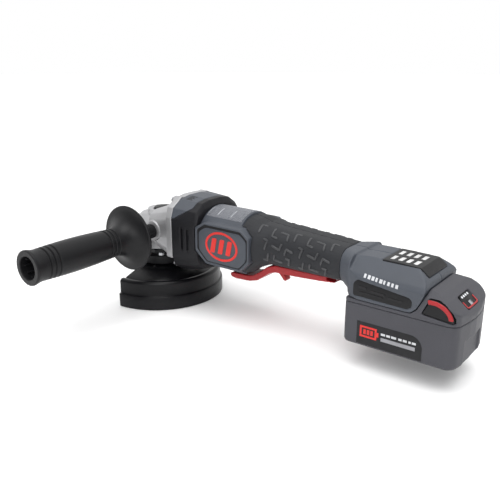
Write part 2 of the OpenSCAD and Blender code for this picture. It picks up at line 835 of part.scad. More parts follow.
module paddle_lever() color(red)
  difference() {
    along_y(-paddle_half) linear_extrude(2 * paddle_half) paddle_profile();
    for (s = [-1, 1])
      block([228, s > 0 ? 7 : -20, 47.5], [250, s > 0 ? 20 : -7, 60]);
    bar_y(pivot[0], pivot[1], 2 + shaft_gap, -20, 20);
    block([158, -4.4, 30], [180, 4.4, 60]);
    bar_y(lockoff[0], lockoff[1], 1.5, -9, 9);
    for (s = [-1, 1])
      block([184, s > 0 ? 6 : -11, 46.5], [226, s > 0 ? 11 : -6, 60]);
    translate([spring_x, 0, 46]) cylinder(r = 4.2, h = 10);
  }

module paddle_pin() color(steel)
  bar_y(pivot[0], pivot[1], 2, -pocket_half, pocket_half);

module paddle_spring() color(steel)
  translate([spring_x, 0, 46.1]) coil(3, 0.5, pocket_top - 46.2, 5);

module lockoff_tab() color(red)
  difference() {
    along_y(-4) linear_extrude(8)
      polygon(concat(arc(lockoff[0], lockoff[1], 3.4, 3.4, 30, 210, 8),
                     arc(lockoff[0] + 9, lockoff[1] - 11.7, 1.8, 1.8, 220, 400, 8)));
    bar_y(lockoff[0], lockoff[1], 1.5 + shaft_gap, -9, 9);
  }

module lockoff_pin() color(steel)
  bar_y(lockoff[0], lockoff[1], 1.5, -9, 9);

// ---- switch and electronics ---------------------------------------------

module trigger_switch() color(black)
  difference() {
    block([184, -8, 61], [208, 8, 72]);
    bar_z(plunger_x, 0, 2.5, 50, 69);
  }

module switch_plunger() color(red) {
  bar_z(plunger_x, 0, 2, pocket_top - 6.8, 66);
}

module motor_leads() color(red)
  for (p = [[-12, 70], [12, 70], [12, 66.4]])
    translate([116, p[0], p[1]]) rotate([0, 90, 0]) cylinder(r = 1.6, h = 156);

module controller_board() color(board_green) {
  block([274, -15, 66], [317, 15, 67.6]);
  for (i = [0:2])
    block([277 + 13 * i, -11, 67.6], [286 + 13 * i, -2, 71]);
  for (i = [0:1])
    bar_z(284 + 18 * i, 8, 4.5, 67.6, 76);
}

module grille_cut() {
  along_y(-20) linear_extrude(40)
    polygon([[286, 79.6], [286, 95], [340, 95], [340, 73.6], [326.4, 73.6], [319.5, 79.6]]);
}

module vent_grille() color(black)
  difference() {
    intersection() {
      along_y(-19.8) linear_extrude(39.6)
        polygon([[286.2, 79.6], [286.2, 82.2], [300, 82], [321.2, 81.2], [328.4, 75.4], [328.4, 73.8],
                 [326.6, 73.8], [319.5, 79.8]]);
      along_x(250) linear_extrude(100) polygon(foot_section);
    }
    for (i = [0:3])
      for (s = [-1, 1])
        block([290 + 7 * i, s > 0 ? 2.5 : -13.5, 76], [294 + 7 * i, s > 0 ? 13.5 : -2.5, 95]);
  }

module vent_screen() color(silver)
  block([287, -16, 78.2], [318, 16, 78.9]);

module terminal_block() color(black) {
  block([268, -20, 57.2], [300, 20, 60]);
  for (y = [-12, -4, 4, 12])
    block([272, y - 0.4, 50.5], [294, y + 0.4, 57.5]);
}

// ---- battery -------------------------------------------------------------

case_split = 43;
battery_low_r = 3.5;
cell_r = 9.1;
cell_half = 32.7;      // half width of the space that the cells lie in

module battery_plan(inset)
  polygon(concat(
    arc(battery_x0 + 4.5, -foot_half + 4.5, 4.5 - inset, 4.5 - inset, 180, 270, 5),
    arc(battery_x1 - 13, -foot_half + 10, 10 - inset, 10 - inset, 270, 350, 6),
    [[battery_x1 - 0.8 - inset, -12], [battery_x1 - inset, 0], [battery_x1 - 0.8 - inset, 12]],
    arc(battery_x1 - 13, foot_half - 10, 10 - inset, 10 - inset, 10, 90, 6),
    arc(battery_x0 + 4.5, foot_half - 4.5, 4.5 - inset, 4.5 - inset, 90, 180, 5)));

module battery_lower_case() color(battery_grey)
  difference() {
    union() {
      translate([0, 0, battery_z0 + battery_low_r])
        linear_extrude(case_split - battery_z0 - battery_low_r) battery_plan(0);
      hull() {
        translate([0, 0, battery_z0 + battery_low_r]) linear_extrude(0.01) battery_plan(0);
        translate([0, 0, battery_z0 + 1]) linear_extrude(0.01) battery_plan(1.2);
        translate([0, 0, battery_z0]) linear_extrude(0.01) battery_plan(battery_low_r);
      }
    }
    block([battery_x0 + 3, -cell_half, battery_z0 + 2.4], [battery_x1 - 8, cell_half, 60]);
    block([battery_x1 - 3.5, -18, 0], [battery_x1 + 5, 18, 27]);
  }

tower = [
  [332.8, 67.6], [343.5, 64.6], [350, 61.2], [361.8, 51.7], [battery_x1, 46], [battery_x1, case_split]
];

module battery_upper_case() color(battery_grey)
  difference() {
    union() {
      translate([0, 0, case_split]) linear_extrude(foot_low - gap - case_split) battery_plan(0);
      intersection() {
        along_y(-50) linear_extrude(100)
          polygon(concat([for (p = seam) [p[0] + 0.6, p[1] - gap]], tower, [[316, case_split]]));
        along_x(250) linear_extrude(150)
          polygon([[-foot_half, 40], [foot_half, 40], [foot_half, 58], [33, 63], [24, 67.6], [-24, 67.6],
                   [-33, 63], [-foot_half, 58]]);
        linear_extrude(100) battery_plan(0);
      }
      block([268, -23.6, foot_low - 1], [336, 23.6, 56.8]);
    }
    for (s = [-1, 1])
      block([260, s > 0 ? 20 : -24, 46.4], [332, s > 0 ? 24 : -20, 53.6]);
    block([battery_x0 + 3, -cell_half, 30], [battery_x1 - 8, cell_half, 44.6]);
    block([338, -29, 44], [358, 29, 50]);
    for (s = [-1, 1])
      block([338, s > 0 ? 19 : -29, 44], [350, s > 0 ? 29 : -19, 59]);
    for (y = [-12, -4, 4, 12])
      block([260, y - 1.6, 49.5], [302, y + 1.6, 60]);
    for (s = [-1, 1])
      along_y(s > 0 ? 28 : -foot_half - 1) linear_extrude(foot_half - 27) button_outline(0.4);
    gauge_at() linear_extrude(6, center = true) gauge_outline(0.2);
  }

module battery_cells() color(red)
  for (i = [0:4])
    for (z = [battery_z0 + 2.4 + cell_r + 0.2, battery_z0 + 2.4 + 3 * cell_r + 0.5])
      bar_y(battery_x0 + 3.3 + cell_r + 18.3 * i, z, cell_r, -32.5, 32.5);

module battery_board() color(board_green)
  block([338.5, -26, 45], [357.5, 26, 46.6]);

module battery_terminals() color(copper)
  for (y = [-12, -4, 4, 12])
    for (s = [-1, 1])
      block([274, y + s * 0.8 - 0.3, 49.5], [300, y + s * 0.8 + 0.3, 56]);

// The release button's outline in (x, z): straight front and base, round over the back
module button_outline(grow)
  polygon(concat(
    [[330.5 - grow, 48.5 - grow], [336 - grow, 60 + grow]],
    arc(339, 46.5, 19 + grow, 16 + grow, 100, 4, 8),
    [[358 + grow, 46 - grow]]));

module release_button(side) color(red)
  union() {
    along_y(side > 0 ? 31.5 : -foot_half + 0.2) linear_extrude(foot_half - 31.7) button_outline(0);
    block([339.5, side > 0 ? 30 : -31.5, 50.5], [349, side > 0 ? 31.5 : -30, 57.5]);
  }

module release_button_left() release_button(-1);
module release_button_right() release_button(1);

module release_springs() color(steel)
  for (s = [-1, 1])
    translate([344.5, s * 19, 54]) rotate([-90 * s, 0, 0]) coil(3, 0.5, 10.8, 5);

gauge_tilt = 38.8;
module gauge_at() translate([355.8, 0, 56.4]) rotate([0, gauge_tilt, 0]) children();
module gauge_outline(grow) translate([-6.5 - grow, -12 - grow]) square([13 + 2 * grow, 24 + 2 * grow]);

module gauge_panel() color(black)
  gauge_at() translate([0, 0, -1.2])
    difference() {
      linear_extrude(1) gauge_outline(0);
      translate([0.5, -3.2, -1]) cube([4.6, 6.4, 4]);
    }

module gauge_button() color(red)
  gauge_at() translate([0.8, -2.9, -1.6]) cube([4, 5.8, 1.6]);

gear_case();
gear_case_screws();
bearing_plate();
bearing_plate_screws();
spindle_bearing_lower();
spindle_bearing_upper();
spindle();
bevel_gear();
inner_flange();
lock_button();
lock_pin();
lock_spring();
side_handle_grip();
side_handle_stud();
guard_shell();
guard_clamp_band();
guard_clamp_screw();
motor_collar();
collar_arch();
fan();
stator();
stator_coils();
rotor_shaft();
rotor_core();
pinion();
motor_bearing_front();
motor_bearing_rear();
housing_left();
housing_right();
grip_rubber_left();
grip_rubber_right();
badge_left();
badge_right();
housing_screws();
paddle_lever();
paddle_pin();
paddle_spring();
lockoff_tab();
lockoff_pin();
trigger_switch();
switch_plunger();
controller_board();
motor_leads();
vent_grille();
vent_screen();
nameplate_left();
nameplate_right();
terminal_block();
battery_lower_case();
battery_upper_case();
battery_cells();
battery_board();
battery_terminals();
release_button_left();
release_button_right();
release_springs();
gauge_panel();
gauge_button();
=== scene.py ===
"""The look of a cordless angle grinder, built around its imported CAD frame."""
import math

import bmesh
import bpy
from mathutils import Matrix, Vector
from mathutils.bvhtree import BVHTree


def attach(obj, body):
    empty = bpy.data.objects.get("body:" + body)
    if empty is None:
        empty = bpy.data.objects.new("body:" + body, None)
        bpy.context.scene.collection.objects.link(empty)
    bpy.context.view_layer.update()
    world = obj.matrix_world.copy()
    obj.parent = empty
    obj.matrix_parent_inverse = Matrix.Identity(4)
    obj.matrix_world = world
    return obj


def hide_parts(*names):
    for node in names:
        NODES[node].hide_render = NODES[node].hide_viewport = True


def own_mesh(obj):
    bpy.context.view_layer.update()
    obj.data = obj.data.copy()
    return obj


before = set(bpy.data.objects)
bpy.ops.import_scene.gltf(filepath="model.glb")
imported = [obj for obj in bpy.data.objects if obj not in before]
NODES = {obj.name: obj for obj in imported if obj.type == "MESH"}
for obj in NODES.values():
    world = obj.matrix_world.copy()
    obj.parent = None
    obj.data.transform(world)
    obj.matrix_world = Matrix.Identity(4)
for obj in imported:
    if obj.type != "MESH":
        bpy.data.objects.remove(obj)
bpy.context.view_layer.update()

MM = 0.001
AXIS_H = 63.0          # motor axis above the wheel seat, mm
BARREL_R = 33.0        # outer radius of the barrel, mm
FOOT_HALF = 35.5       # half the width of the foot that the battery slides on, mm
scene = bpy.context.scene


# ---- materials ------------------------------------------------------------

BUMP_DEPTH = 0.0004                # depth of a finish's grain, m
CLOUD_SCALE = 35                   # blotches of shade and gloss
WEAR_SCALE = 160                   # how finely a worn edge breaks up
EDGE_FROM, EDGE_TO = 0.53, 0.64    # pointiness at which an edge starts to wear, and is fully worn
ROW_PITCH = 0.0017                 # from one row of the label's dashes to the next, m
DASH_SCALE = 900


def noise(nt, vector, scale, detail=None):
    tex = nt.nodes.new("ShaderNodeTexNoise")
    tex.inputs["Scale"].default_value = scale
    if detail is not None:
        tex.inputs["Detail"].default_value = detail
    nt.links.new(vector, tex.inputs["Vector"])
    return tex.outputs["Fac"]


def remapped(nt, value, lo, hi, to_lo=0.0, to_hi=1.0):
    node = nt.nodes.new("ShaderNodeMapRange")
    for key, number in (("From Min", lo), ("From Max", hi), ("To Min", to_lo), ("To Max", to_hi)):
        node.inputs[key].default_value = number
    nt.links.new(value, node.inputs["Value"])
    return node.outputs["Result"]


def product(nt, a, b):
    """An output times another output, or times a number."""
    node = nt.nodes.new("ShaderNodeMath")
    node.operation = "MULTIPLY"
    nt.links.new(a, node.inputs[0])
    if isinstance(b, bpy.types.NodeSocket):
        nt.links.new(b, node.inputs[1])
    else:
        node.inputs[1].default_value = b
    return node.outputs[0]


def tinted(nt, amount, base, color):
    """The base colour mixed towards another one."""
    mix = nt.nodes.new("ShaderNodeMix")
    mix.data_type = "RGBA"
    mix.inputs["B"].default_value = (*color, 1)
    nt.links.new(amount, mix.inputs["Factor"])
    nt.links.new(base, mix.inputs["A"])
    return mix.outputs["Result"]


def material(name, color, rough=0.5, metallic=0.0, grain=(900, 0.05), shade=0.12, wear=0.0,
             wear_color=(0.3, 0.3, 0.32), smudge=0.08, coat=0.0, streak=None, shine=0.35):
    """A procedural finish: colour shading, a fine grain, smudged gloss and worn edges."""
    m = bpy.data.materials.new(name)
    m.use_nodes = True
    nt = m.node_tree
    link = nt.links.new
    bsdf = nt.nodes["Principled BSDF"]
    bsdf.inputs["Metallic"].default_value = metallic
    bsdf.inputs["Coat Weight"].default_value = coat
    bsdf.inputs["Specular IOR Level"].default_value = shine
    coord = nt.nodes.new("ShaderNodeTexCoord").outputs["Object"]
    cloud = noise(nt, coord, CLOUD_SCALE, 6)
    ramp = nt.nodes.new("ShaderNodeValToRGB")
    stops = ramp.color_ramp.elements
    stops[0].color = (*[c * (1 - shade) for c in color], 1)
    stops[1].color = (*[min(1, c * (1 + shade)) for c in color], 1)
    stops[0].position = 0.3
    stops[1].position = 0.7
    link(cloud, ramp.inputs["Fac"])
    base = ramp.outputs["Color"]
    if wear:
        pointed = nt.nodes.new("ShaderNodeNewGeometry").outputs["Pointiness"]
        edge = remapped(nt, pointed, EDGE_FROM, EDGE_TO)
        worn = product(nt, edge, noise(nt, coord, WEAR_SCALE))
        base = tinted(nt, product(nt, worn, wear), base, wear_color)
    link(base, bsdf.inputs["Base Color"])
    link(remapped(nt, cloud, 0, 1, rough - smudge, rough + smudge), bsdf.inputs["Roughness"])
    across = coord
    if streak:
        stretch = nt.nodes.new("ShaderNodeMapping")
        stretch.inputs["Scale"].default_value = streak
        link(coord, stretch.inputs["Vector"])
        across = stretch.outputs["Vector"]
    bump = nt.nodes.new("ShaderNodeBump")
    bump.inputs["Strength"].default_value = grain[1]
    bump.inputs["Distance"].default_value = BUMP_DEPTH
    link(noise(nt, across, grain[0], 3), bump.inputs["Height"])
    link(bump.outputs["Normal"], bsdf.inputs["Normal"])
    return m


def fine_print():
    """Grey label stock with rows of short pale dashes too fine to read, which say nothing."""
    m = material("label_print", (0.07, 0.078, 0.094), 0.45, 0.0, (1500, 0.2), 0.08)
    nt = m.node_tree
    color_in = nt.nodes["Principled BSDF"].inputs["Base Color"]
    base = color_in.links[0].from_socket
    coord = nt.nodes.new("ShaderNodeTexCoord").outputs["Object"]
    parts = nt.nodes.new("ShaderNodeSeparateXYZ")
    nt.links.new(coord, parts.inputs["Vector"])
    rows = nt.nodes.new("ShaderNodeMath")
    rows.operation = "SINE"
    nt.links.new(product(nt, parts.outputs["X"], 2 * math.pi / ROW_PITCH), rows.inputs[0])
    dashes = product(nt, rows.outputs[0], noise(nt, coord, DASH_SCALE))
    ink = remapped(nt, dashes, 0.27, 0.42)
    nt.links.new(tinted(nt, ink, base, (0.34, 0.34, 0.36)), color_in)
    return m


M = {
    "cast": material("cast_alloy", (0.4, 0.4, 0.41), 0.46, 0.55, (700, 0.5), 0.1,
                     0.4, (0.62, 0.62, 0.63), 0.1),
    "steel": material("steel", (0.42, 0.43, 0.45), 0.32, 1.0, (600, 0.2), 0.1,
                      0.3, (0.7, 0.7, 0.7), streak=(1, 6, 1)),
    "slate": material("slate_plastic", (0.058, 0.065, 0.079), 0.5, 0.0, (1500, 0.35), 0.08,
                      0.35, (0.14, 0.15, 0.17)),
    "pack": material("pack_plastic", (0.052, 0.052, 0.061), 0.52, 0.0, (1500, 0.35), 0.07,
                     0.35, (0.13, 0.13, 0.145)),
    "rubber": material("soft_rubber", (0.018, 0.019, 0.022), 0.62, 0.0, (1100, 0.5), 0.12,
                       0.4, (0.07, 0.07, 0.075), shine=0.3),
    # the ribs' rubber is lighter than the grip's, a painted sheen that brings the raised ribs out; its
    # lighter edges are wear
    "rib": material("rib_rubber", (0.03, 0.031, 0.034), 0.45, 0.0, (1100, 0.3), 0.12,
                    0.5, (0.12, 0.12, 0.125), shine=0.45),
    "collar": material("collar_plastic", (0.009, 0.009, 0.011), 0.5, 0.0, (1200, 0.4), 0.12,
                       0.4, (0.05, 0.05, 0.055), shine=0.22),
    "black": material("black_plastic", (0.007, 0.007, 0.008), 0.45, 0.0, (1300, 0.3), 0.15,
                      0.3, (0.045, 0.045, 0.05), shine=0.25),
    "handle": material("handle_plastic", (0.008, 0.008, 0.009), 0.4, 0.0, (900, 0.45), 0.15,
                       0.3, (0.05, 0.05, 0.055), shine=0.22),
    "paint": material("guard_paint", (0.003, 0.003, 0.004), 0.3, 0.0, (800, 0.35), 0.2,
                      0.25, (0.06, 0.06, 0.065), shine=0.22),
    "red": material("red_plastic", (0.34, 0.014, 0.018), 0.36, 0.0, (1300, 0.25), 0.08,
                    0.3, (0.5, 0.06, 0.055)),
    "mark": material("white_ink", (0.55, 0.56, 0.58), 0.5, 0.0, (1500, 0.2), 0.12),
    "grey": material("grey_ink", (0.28, 0.28, 0.3), 0.5, 0.0, (1500, 0.2), 0.12),
    "led": material("led_lens", (0.7, 0.72, 0.75), 0.2, 0.0, (400, 0.1), 0.08, coat=0.4),
    "roundel": material("red_ink", (0.62, 0.025, 0.02), 0.4, 0.0, (1200, 0.25), 0.1),
    "mesh": material("vent_mesh", (0.62, 0.62, 0.62), 0.5, 0.0, (2500, 1.0), 0.15),
    "copper": material("copper", (0.72, 0.38, 0.18), 0.35, 0.9, (800, 0.5), 0.15, streak=(12, 1, 1)),
    "board": material("board", (0.03, 0.14, 0.07), 0.35, 0.0, (500, 0.3), 0.2),
    "sleeve": material("cell_sleeve", (0.1, 0.28, 0.16), 0.3, 0.0, (400, 0.15), 0.1),
    "print": fine_print(),
}


# ---- mesh helpers -----------------------------------------------------------

def select_only(objects):
    for o in bpy.context.selected_objects:
        o.select_set(False)
    for o in objects:
        o.select_set(True)
    bpy.context.view_layer.objects.active = objects[0]


def finish_piece(o, mat, body, nodes=(), smooth=40):
    """Gives a piece its material, its smoothing angle and its place in the frame."""
    o.data.materials.clear()
    o.data.materials.append(M[mat])
    select_only([o])
    bpy.ops.object.shade_smooth_by_angle(angle=math.radians(smooth))
    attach(o, body)
    if nodes:
        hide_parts(*nodes)
    return o


def from_bmesh(name, bm):
    bmesh.ops.recalc_face_normals(bm, faces=bm.faces)
    me = bpy.data.meshes.new(name)
    bm.to_mesh(me)
    bm.free()
    o = bpy.data.objects.new(name, me)
    scene.collection.objects.link(o)
    return o


def apply_modifiers(o):
    dg = bpy.context.evaluated_depsgraph_get()
    me = bpy.data.meshes.new_from_object(o.evaluated_get(dg))
    o.modifiers.clear()
    o.data = me
    return o


def bevel(o, width, segments=3, angle=30):
    b = o.modifiers.new("bevel", "BEVEL")
    b.width = width * MM
    b.segments = segments
    b.limit_method = "ANGLE"
    b.angle_limit = math.radians(angle)
    b.use_clamp_overlap = True
    return apply_modifiers(o)


def softened(node, name, voxel=0.8, rounds=4):
    """A copy of a CAD node with every edge rounded as a mould or a casting rounds it."""
    me = NODES[node].data.copy()
    o = bpy.data.objects.new(name, me)
    scene.collection.objects.link(o)
    r = o.modifiers.new("remesh", "REMESH")
    r.mode = "VOXEL"
    r.voxel_size = voxel * MM
    s = o.modifiers.new("smooth", "SMOOTH")
    s.factor = 0.5
    s.iterations = rounds
    return apply_modifiers(o)


def close_tube(bm, rings):
    """Skins a row of rings and caps its two ends."""
    count = len(rings[0])
    for a, b in zip(rings, rings[1:]):
        for j in range(count):
            k = (j + 1) % count
            bm.faces.new((a[j], a[k], b[k], b[j]))
    bm.faces.new(rings[0])
    bm.faces.new(list(reversed(rings[-1])))


def lathe(name, profile, steps, start=0.0, sweep=360.0, to=Matrix.Identity(4)):
    """Turns a closed (radius, height) outline, in mm, about Z."""
    bm = bmesh.new()
    full = abs(sweep - 360) < 1e-6
    count = steps if full else steps + 1
    rings = []
    for i in range(count):
        a = math.radians(start + sweep * i / steps)
        rings.append([bm.verts.new(to @ Vector((r * math.cos(a) * MM, r * math.sin(a) * MM, z * MM)))
                      for r, z in profile])
    n = len(profile)
    for i in range(steps):
        a, b = rings[i], rings[(i + 1) % count]
        for j in range(n):
            k = (j + 1) % n
            if profile[j][0] < 1e-6 and profile[k][0] < 1e-6:
                continue
            bm.faces.new((a[j], a[k], b[k], b[j]))
    if not full:
        bm.faces.new(rings[0])
        bm.faces.new(list(reversed(rings[-1])))
    bmesh.ops.remove_doubles(bm, verts=bm.verts, dist=1e-6)
    return from_bmesh(name, bm)


def prism(name, outline, lo, hi, place):
    """A flat outline (mm) given thickness from lo to hi; place maps (u, v, w) to a point in mm."""
    bm = bmesh.new()
    low = [bm.verts.new(Vector(place(u, v, lo)) * MM) for u, v in outline]
    high = [bm.verts.new(Vector(place(u, v, hi)) * MM) for u, v in outline]
    bm.faces.new(low)
    bm.faces.new(list(reversed(high)))
    for i in range(len(outline)):
        j = (i + 1) % len(outline)
        bm.faces.new((low[i], high[i], high[j], low[j]))
    return from_bmesh(name, bm)


def upright(u, v, w):
    """Maps an outline seen from above to a point."""
    return u, v, w


def side_place(side):
    """Maps (x, z, out) to a point out from the middle plane: side -1 is the left, 1 the right."""
    return lambda u, v, w: (u, side * w, v)


def placed(x, y, z):
    """A shift to a point given in mm."""
    return Matrix.Translation(Vector((x, y, z)) * MM)


def turned(degrees, axis):
    return Matrix.Rotation(math.radians(degrees), 4, axis)


def box(u0, v0, u1, v1):
    return [(u0, v0), (u1, v0), (u1, v1), (u0, v1)]


def arc(cx, cy, rx, ry, a0, a1, n):
    """Points on an ellipse's arc, from a0 to a1 degrees."""
    return [(cx + rx * math.cos(math.radians(a0 + (a1 - a0) * i / n)),
             cy + ry * math.sin(math.radians(a0 + (a1 - a0) * i / n))) for i in range(n + 1)]


def rounded_outline(points, radius, n=4):
    """The outline with each corner replaced by a small arc-like curve."""
    out = []
    count = len(points)
    for i in range(count):
        p, a, b = Vector(points[i]), Vector(points[i - 1]), Vector(points[(i + 1) % count])
        r = min(radius, (a - p).length * 0.45, (b - p).length * 0.45)
        s, e = p + (a - p).normalized() * r, p + (b - p).normalized() * r
        for k in range(n + 1):
            t = k / n
            q = s * (1 - t) ** 2 + p * 2 * t * (1 - t) + e * t ** 2
            out.append((q.x, q.y))
    return out


def joined(name, objects):
    select_only(objects)
    bpy.ops.object.join()
    objects[0].name = name
    return objects[0]


def surface_of(o):
    bm = bmesh.new()
    bm.from_mesh(o.data)
    tree = BVHTree.FromBMesh(bm)
    bm.free()
    return tree


GRIP_FROM = 158        # where the grip's ribs start, mm back from the spindle
GRIP_MID = 69.5        # height there of the middle of the grip's side
GRIP_FALL = 0.032      # how fast the middle falls towards the battery
GRIP_ROUND = 25        # mean radius of the grip
RIB_W, RIB_H, RIB_SINK = 2.1, 1.0, 0.4
RIB_STEP = 1.2         # spacing of a rib's sections, mm
RIB_TIP = 0.55         # size of a rib's end sections against the others
FADE_FROM, FADE_OVER, FADE_BY = 12, 10, 0.6    # ribs get lower towards the grip's top
RAY_START = 0.06       # how far outside the axis a ray starts, m


def ridge(name, tree, points, side):
    """A raised rib along (x, distance round the grip) points, laid on the surface it meets."""
    dense = []
    for (x0, v0), (x1, v1) in zip(points, points[1:]):
        steps = max(2, int(math.dist((x0, v0), (x1, v1)) / RIB_STEP))
        dense += [(x0 + (x1 - x0) * i / steps, v0 + (v1 - v0) * i / steps) for i in range(steps)]
    dense.append(points[-1])
    hits = []
    for x, v in dense:
        drop = 1 - FADE_BY * min(1, max(0, (v - FADE_FROM) / FADE_OVER))
        a = v / GRIP_ROUND
        out = Vector((0, side * math.cos(a), math.sin(a)))
        start = Vector((x, 0, GRIP_MID - GRIP_FALL * (x - GRIP_FROM))) * MM + out * RAY_START
        p, nrm, _, _ = tree.ray_cast(start, -out)
        if p is not None:
            hits.append((p, nrm, drop))
    bm = bmesh.new()
    rings = []
    for i, (p, nrm, drop) in enumerate(hits):
        t = (hits[min(i + 1, len(hits) - 1)][0] - hits[max(i - 1, 0)][0]).normalized()
        s = nrm.cross(t).normalized()
        end = RIB_TIP if i in (0, len(hits) - 1) else 1
        w, h, low = RIB_W * MM / 2 * end, RIB_H * MM * end * drop, -RIB_SINK * MM
        section = ((-1.1, low), (-1, h * 0.5), (-0.7, h), (0.7, h), (1, h * 0.5), (1.1, low))
        rings.append([bm.verts.new(p + s * u * w + nrm * v) for u, v in section])
    close_tube(bm, rings)
    return from_bmesh(name, bm)


def patch(name, tree, start, ray, lift, thick=0.3, cells=4):
    """A thin plate laid on the surface that rays meet; start maps (0..1, 0..1) to a point in mm."""
    bm = bmesh.new()
    top, low = {}, {}
    for i in range(cells + 1):
        for j in range(cells + 1):
            p, nrm, _, _ = tree.ray_cast(Vector(start(i / cells, j / cells)) * MM, Vector(ray))
            top[i, j] = bm.verts.new(p + nrm * lift * MM)
            low[i, j] = bm.verts.new(p - nrm * (thick - lift) * MM)
    for i in range(cells):
        for j in range(cells):
            for grid in (top, low):
                bm.faces.new((grid[i, j], grid[i + 1, j], grid[i + 1, j + 1], grid[i, j + 1]))
    rim = [(i, 0) for i in range(cells)] + [(cells, j) for j in range(cells)]
    rim += [(i, cells) for i in range(cells, 0, -1)] + [(0, j) for j in range(cells, 0, -1)]
    for a, b in zip(rim, rim[1:] + rim[:1]):
        bm.faces.new((top[a], top[b], low[b], low[a]))
    return from_bmesh(name, bm)


# ---- gear case, spindle and guard -------------------------------------------

case = softened("gear_case", "gear_case_casting", 0.6, 3)
finish_piece(case, "cast", "body", ["gear_case"], 60)
plate = softened("bearing_plate", "bearing_plate_casting", 0.6, 3)
finish_piece(plate, "paint", "body", ["bearing_plate"], 60)

BUTTON_TOP = 82.5      # top of the lock button's ribs, mm
stadium = arc(17, 0, 11.2, 11.2, -90, 90, 16) + arc(6.5, 0, 11.2, 11.2, 90, 270, 16)
button = prism("lock_button_cap", stadium, BUTTON_TOP - 4.2, BUTTON_TOP - 0.2, upright)
button = bevel(button, 1.1, 3)
grips = [prism(f"lock_rib_{i}", rounded_outline(box(x - 0.7, -6, x + 0.7, 6), 0.6, 2),
               BUTTON_TOP - 0.6, BUTTON_TOP, upright) for i, x in enumerate((4, 8, 12, 16, 20))]
button = joined("lock_button_cap", [button] + grips)
finish_piece(button, "black", "lock", ["lock_button"])

GUARD_R = 69.3         # outer radius of the guard, mm
RIVET_AT = 30          # radius of the circle of rivets


def guard_profile():
    r = GUARD_R
    outer = [(r, -17), (r, -3.2), (r - 0.5, -2.4), (r - 1.8, -2.0), (r - 2.2, -1.2)]
    shoulder = arc(r - 5.4, 10, 3.2, 3.6, 0, 90, 8)
    deck = [(62, 13.5), (61, 13.3), (60, 12.6), (59, 12.3), (58, 12.8), (57, 13.5), (50, 15.6),
            (44, 17.6), (39, 19.0), (36.2, 19.45)]
    inner = [(33, 19.2), (33, 17.5), (37.4, 17.5), (57, 11.4), (r - 5.4, 11.4),
             (r - 4.2, 9.4), (r - 4.2, -3), (r - 2, -4.2), (r - 2, -15.4), (r - 3.5, -15.8),
             (r - 3.5, -17)]
    return outer + shoulder + deck + inner


guard = lathe("guard_half", guard_profile(), 96, -88, 180)
hub = lathe("guard_hub", [(22.2, 17.3), (36, 17.3), (36, 19.2), (35.6, 19.5), (25.6, 19.5), (24.6, 20.2),
                          (24.4, 31), (22.2, 31)], 96)
rivets = [lathe(f"guard_rivet_{i}", [(0, 19), (2.4, 19), (2.3, 20), (1.4, 20.8), (0, 21)], 16,
                to=placed(RIVET_AT * math.cos(a), RIVET_AT * math.sin(a), 0))
          for i, a in enumerate(math.radians(v) for v in (-60, 0, 60, 120, 180, 240))]
guard = joined("guard_half", [guard, hub] + rivets)
finish_piece(guard, "paint", "guard", ["guard_shell"], 35)

# ---- side handle --------------------------------------------------------------

SEAT, DISC, END = 31.1, 64.0, 187.0    # distances out to the boss, the disc and the end, mm
SLEEVE_R, SWELL = 14.8, 1.6            # radius of the gripped sleeve, and how much it swells midway
KNURLS, WEBS = 20, 8


def handle_profile():
    d, e = DISC - 31, END - 31
    out = [(5, 0), (7.2, 0), (7.5, 0.5), (7.5, d - 9), (7.9, d - 6.5), (9.5, d - 4.2), (14, d - 2.6),
           (28, d - 1), (32.6, d - 0.4), (34, d + 0.3), (34.5, d + 1.2), (34.4, d + 2.2), (33.4, d + 3)]
    out += arc(33.8, d + 22, 19, 19, 268, 180, 14)
    first = [d + 25 + 5 * i for i in range(3)]
    last = [e - 26 + 5 * i for i in range(3)]

    def sleeve(z):
        return SLEEVE_R + SWELL * math.sin(math.pi * (z - first[0]) / (e - first[0]))

    for z in first + last:
        r = sleeve(z)
        out += [(r, z - 1.3), (r - 0.3, z - 1), (r - 1.2, z - 0.5)]
        out += [(r - 1.2, z + 0.5), (r - 0.3, z + 1), (r, z + 1.3)]
        if z == first[-1]:
            between = [z + 1.3 + (last[0] - z - 2.6) * k / 8 for k in range(1, 8)]
            out += [(sleeve(y), y) for y in between]
    out += [(15.4, e - 11), (15.6, e - 8), (16.3, e - 4.5), (16.9, e - 2.6), (17, e - 1.6)]
    out += [(16.7, e - 0.5), (16, e), (12, e), (11.2, e - 0.6), (11, e - 2), (11, e - 29)]
    out += [(10, e - 30), (0, e - 30), (0, 45), (5, 45)]
    return out


to_handle = placed(18, -SEAT, 62.4) @ turned(90, "X")


def round_handle(i, count):
    """Maps an outline and its thickness to the i-th of count places round the handle."""
    turn = to_handle @ turned(360 / count * i, "Z")
    return lambda u, v, w: tuple(turn @ (Vector((u, v, w)) * MM) / MM)


handle = lathe("side_handle_moulding", handle_profile(), 128, to=to_handle)
ribs = [prism(f"knurl_{i}", [(7.2, -0.55), (7.9, -0.35), (7.9, 0.35), (7.2, 0.55)],
              1.5, DISC - SEAT - 9, round_handle(i, KNURLS)) for i in range(KNURLS)]
ribs += [prism(f"web_{i}", box(8.6, -0.6, 11.3, 0.6),
               END - SEAT - 30.2, END - SEAT - 4, round_handle(i, WEBS)) for i in range(WEBS)]
handle = joined("side_handle_moulding", [handle] + ribs)
finish_piece(handle, "handle", "side_handle", ["side_handle_grip"], 35)

# ---- motor collar ---------------------------------------------------------------

collar = softened("motor_collar", "motor_collar_rubber", 0.7, 4)
finish_piece(collar, "collar", "body", ["motor_collar"], 60)
arch = softened("collar_arch", "collar_arch_moulding", 0.6, 3)
finish_piece(arch, "slate", "body", ["collar_arch"], 60)
